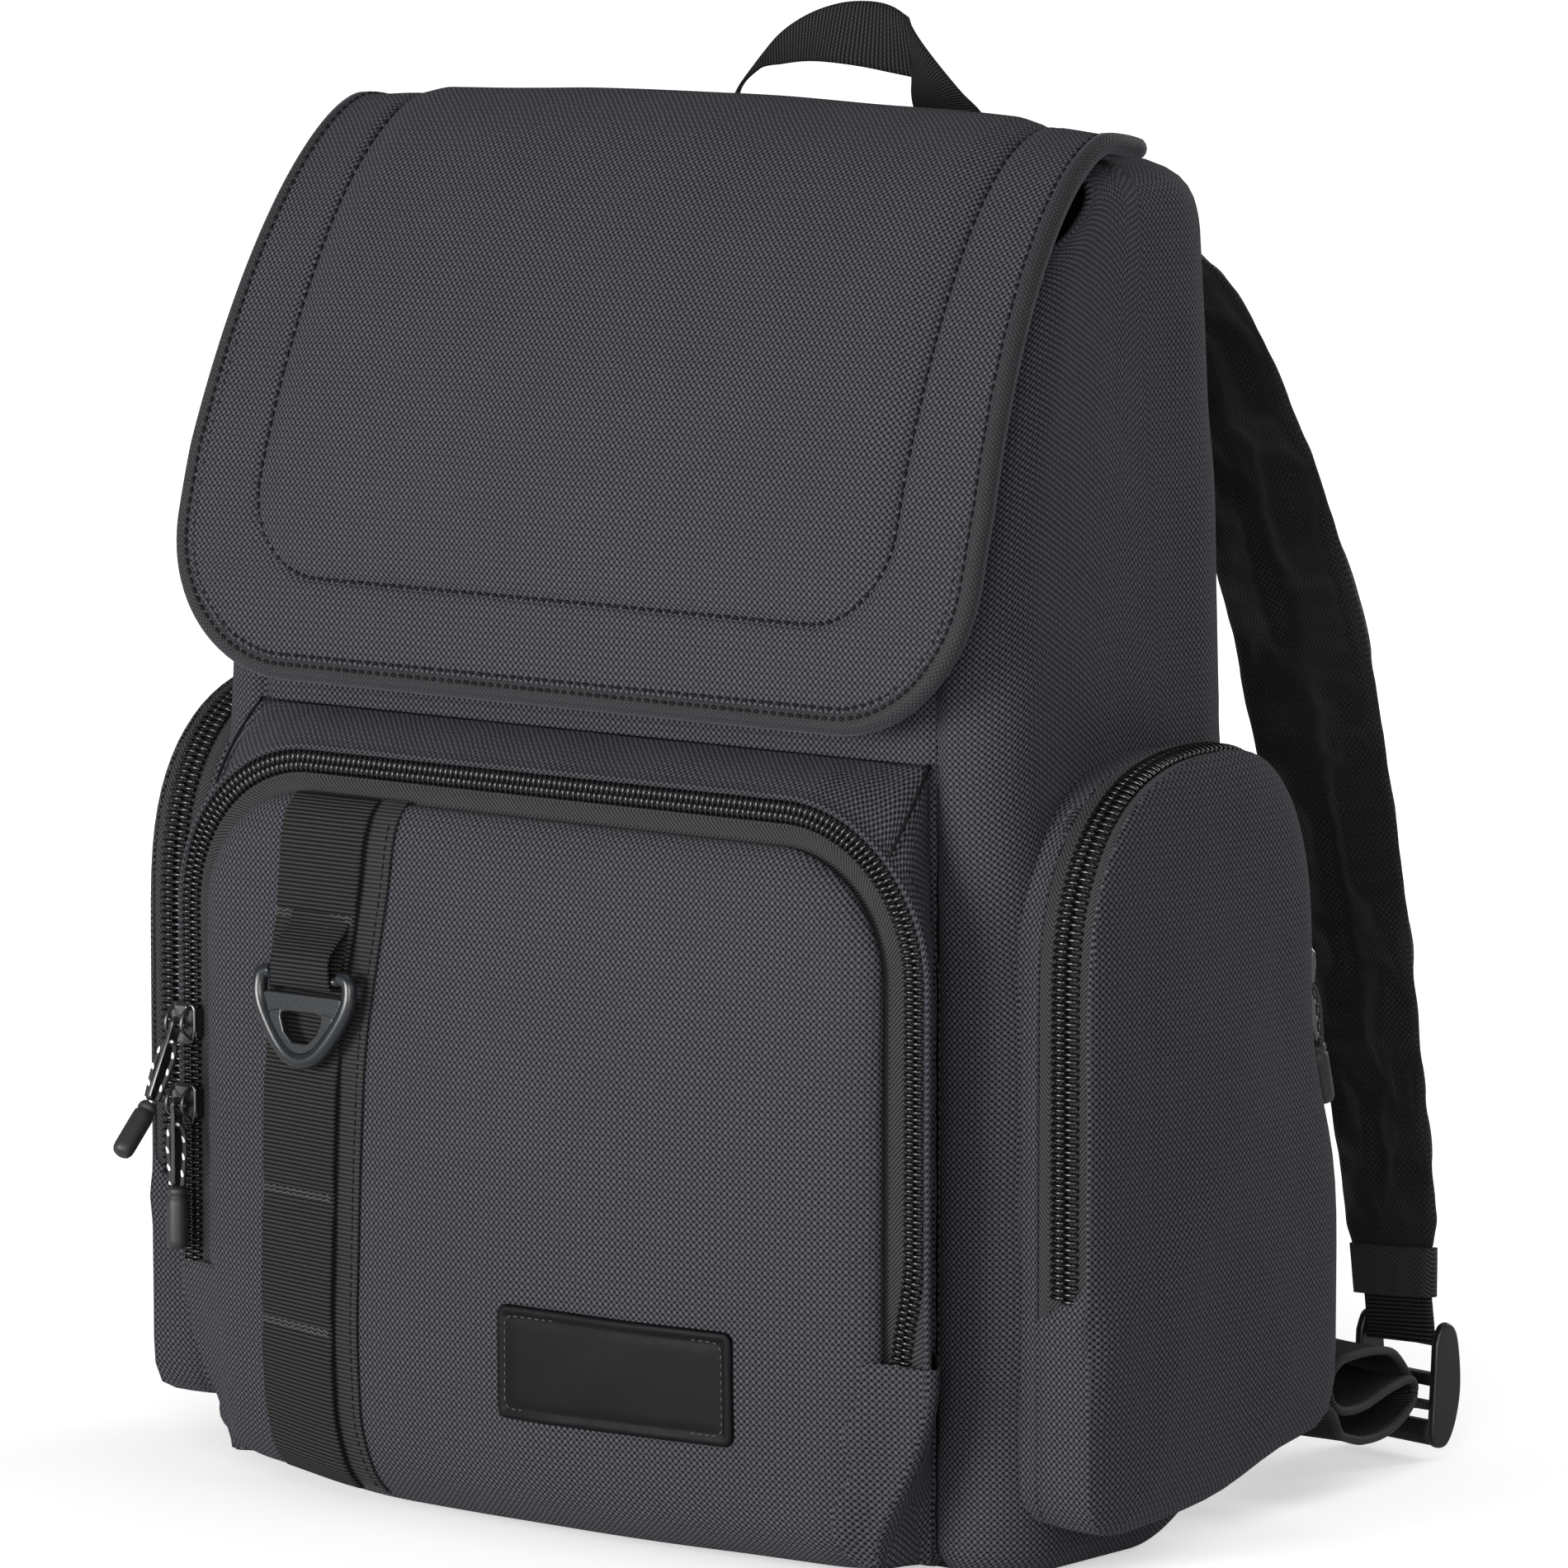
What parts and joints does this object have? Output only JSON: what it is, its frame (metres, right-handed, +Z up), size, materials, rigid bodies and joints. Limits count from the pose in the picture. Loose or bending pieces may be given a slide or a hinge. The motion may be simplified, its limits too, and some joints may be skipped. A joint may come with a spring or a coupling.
{
  "type": "school_backpack",
  "caption": "Charcoal woven school backpack with a top flap, zipped front and side pockets, webbing, D-ring and padded straps.",
  "frame": {"origin": "middle of the main bag base, on the floor plane", "axes": "+Z up, +Y to the wearer's back, front faces -Y"},
  "size_m": [0.3884, 0.3213, 0.4736],
  "materials": {
    "body_weave": "plain weave, charcoal",
    "back_fabric": "air mesh",
    "foam": "closed-cell foam",
    "board": "sheet",
    "binding": "woven tape",
    "metal": "dark gunmetal",
    "zip_tape": "herringbone tape",
    "zip_coil": "nylon coil",
    "webbing": "ribbed webbing",
    "patch": "coated cloth patch",
    "strap_cloth": "padded weave",
    "plastic": "moulded acetal",
    "grip": "moulded sleeve",
    "cord": "braided cord with flecks"
  },
  "bodies": {
    "root": {"front_panel": "body_weave", "side_panel_left": "body_weave", "side_panel_right": "body_weave", "back_panel": "back_fabric", "back_foam": "foam", "back_mesh_pad": "back_fabric", "top_yoke": "body_weave", "base_panel": "body_weave", "base_board": "board", "mouth_binding": "binding", "mouth_eyelets": "metal", "laptop_sleeve": "back_fabric", "pocket_panel": "body_weave", "pocket_gusset": "body_weave", "pocket_zip_tape": "zip_tape", "pocket_zip_coil": "zip_coil", "side_pocket_left": "body_weave", "side_pocket_right": "body_weave", "side_zip_tapes": "zip_tape", "side_zip_coils": "zip_coil", "daisy_webbing": "webbing", "daisy_backing": "webbing", "ring_loop": "webbing", "label_patch": "patch", "snap_sockets": "metal", "strap_roots": "webbing", "anchor_wings": "webbing"},
    "flap_body": {"flap": "body_weave", "flap_binding": "binding", "snap_studs": "metal"},
    "handle_body": {"haul_handle": "webbing"},
    "ring_body": {"d_ring": "plastic"},
    "slider_upper_body": {"pocket_slider_upper": "metal"},
    "slider_lower_body": {"pocket_slider_lower": "metal"},
    "pull_upper_body": {"pull_tab_upper": "metal", "pull_cord_upper": "cord", "pull_grip_upper": "grip"},
    "pull_lower_body": {"pull_tab_lower": "metal", "pull_cord_lower": "cord", "pull_grip_lower": "grip"},
    "side_slider_left_body": {"side_slider_left": "metal"},
    "side_slider_right_body": {"side_slider_right": "metal"},
    "side_pull_left_body": {"side_pull_tab_left": "metal", "side_pull_cord_left": "cord", "side_pull_grip_left": "grip"},
    "side_pull_right_body": {"side_pull_tab_right": "metal", "side_pull_cord_right": "cord", "side_pull_grip_right": "grip"},
    "strap_left_body": {"strap_left": "strap_cloth", "strap_tab_left": "strap_cloth", "strap_webbing_left": "webbing", "ladder_lock_left": "plastic", "lower_webbing_left": "webbing"},
    "strap_right_body": {"strap_right": "strap_cloth", "strap_tab_right": "strap_cloth", "strap_webbing_right": "webbing", "ladder_lock_right": "plastic", "lower_webbing_right": "webbing"}
  },
  "joints": [
    {"name": "flap_hinge", "type": "hinge", "parent": "root", "child": "flap_body", "pos_m": [0, 0.019, 0.4328], "axis": [-1, 0, 0], "range_deg": [0, 120]},
    {"name": "handle_hinge", "type": "hinge", "parent": "root", "child": "handle_body", "pos_m": [0, 0.0663, 0.406], "axis": [-1, 0, 0], "range_deg": [-8, 45]},
    {"name": "ring_hinge", "type": "hinge", "parent": "root", "child": "ring_body", "pos_m": [-0.0775, -0.11163, 0.17], "axis": [-1, 0, 0], "range_deg": [-3, 105]},
    {"name": "slider_upper_slide", "type": "slide", "parent": "root", "child": "slider_upper_body", "axis": [0, 0, 1], "range_m": [0, 0.03]},
    {"name": "slider_lower_slide", "type": "slide", "parent": "root", "child": "slider_lower_body", "axis": [0, 0, 1], "range_m": [-0.04, 0]},
    {"name": "pull_upper_hinge", "type": "hinge", "parent": "slider_upper_body", "child": "pull_upper_body", "pos_m": [-0.146, -0.0957, 0.147], "axis": [-1, 0, 0], "range_deg": [-4, 80]},
    {"name": "pull_lower_hinge", "type": "hinge", "parent": "slider_lower_body", "child": "pull_lower_body", "pos_m": [-0.146, -0.0957, 0.121], "axis": [-1, 0, 0], "range_deg": [0, 30]},
    {"name": "side_slider_left_slide", "type": "slide", "parent": "root", "child": "side_slider_left_body", "axis": [0, 0, 1], "range_m": [-0.006, 0.006]},
    {"name": "side_slider_right_slide", "type": "slide", "parent": "root", "child": "side_slider_right_body", "axis": [0, 0, 1], "range_m": [-0.006, 0.006]},
    {"name": "side_pull_left_hinge", "type": "hinge", "parent": "side_slider_left_body", "child": "side_pull_left_body", "pos_m": [-0.1805, 0.06485, 0.178], "axis": [1, 0, 0], "range_deg": [-5, 55]},
    {"name": "side_pull_right_hinge", "type": "hinge", "parent": "side_slider_right_body", "child": "side_pull_right_body", "pos_m": [0.1805, 0.06485, 0.178], "axis": [1, 0, 0], "range_deg": [-5, 55]},
    {"name": "strap_right_hinge", "type": "hinge", "parent": "root", "child": "strap_right_body", "pos_m": [0.06, 0.101, 0.39], "axis": [0.2488, -0.027, -0.9682], "range_deg": [-20, 20]},
    {"name": "strap_left_hinge", "type": "hinge", "parent": "root", "child": "strap_left_body", "pos_m": [-0.06, 0.101, 0.39], "axis": [-0.2488, -0.027, -0.9682], "range_deg": [-20, 20]}
  ]
}
